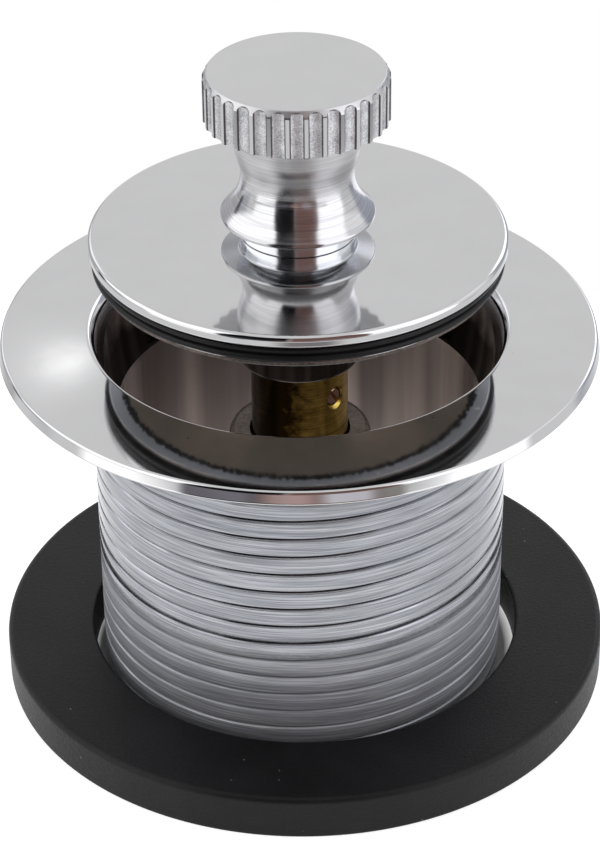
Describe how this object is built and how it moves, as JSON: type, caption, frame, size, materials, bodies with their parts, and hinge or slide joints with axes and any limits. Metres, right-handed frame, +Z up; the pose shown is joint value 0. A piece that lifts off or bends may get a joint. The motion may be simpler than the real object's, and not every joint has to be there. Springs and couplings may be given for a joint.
{
  "type": "bath drain assembly",
  "caption": "Pull-up bath drain: chromed flange on a threaded barrel, with a knob-lifted disc stopper on a brass post, and a loose rubber washer.",
  "frame": {"origin": "centre of the threaded barrel's end face, on the drain's axis", "axes": "+Z up along the drain's axis from the barrel's end to the knob; -Y towards the front of the picture, +X to its right"},
  "size_m": [0.0713, 0.0714, 0.077],
  "materials": {
    "body_chrome": "polished chrome plate over brass",
    "cast_spider": "as cast, dull",
    "post_brass": "fine turned, unplated",
    "bush_nylon": "moulded",
    "screw_steel": "copper flashed",
    "rod_brass": "turned",
    "ring_rubber": "moulded",
    "hub_chrome": "polished",
    "retainer_steel": "stamped sheet",
    "seal_rubber": "glossy moulded",
    "disc_chrome": "polished flat",
    "knob_chrome": "satin turned, polished chamfer",
    "washer_rubber": "matt"
  },
  "bodies": {
    "drain": {"drain_body": "body_chrome", "crossbar": "cast_spider", "post": "post_brass", "guide_bush": "bush_nylon", "set_screw": "screw_steel"},
    "friction_ring": {"friction_ring": "ring_rubber"},
    "stopper": {"stopper_rod": "rod_brass", "hub": "hub_chrome", "seal_retainer": "retainer_steel", "seal": "seal_rubber", "stopper_disc": "disc_chrome", "knob": "knob_chrome"},
    "washer": {"shoe_washer": "washer_rubber"}
  },
  "joints": [
    {"name": "stopper_lift", "type": "slide", "parent": "drain", "child": "friction_ring", "axis": [0, 0, 1], "range_m": [-0.0095, 0]},
    {"name": "stopper_turn", "type": "hinge", "parent": "friction_ring", "child": "stopper", "pos_m": [0, 0, 0.0342], "axis": [0, 0, 1], "continuous": true},
    {"name": "washer_slide", "type": "slide", "parent": "drain", "child": "washer", "axis": [0, 0, 1], "range_m": [0, 0.0378]}
  ]
}
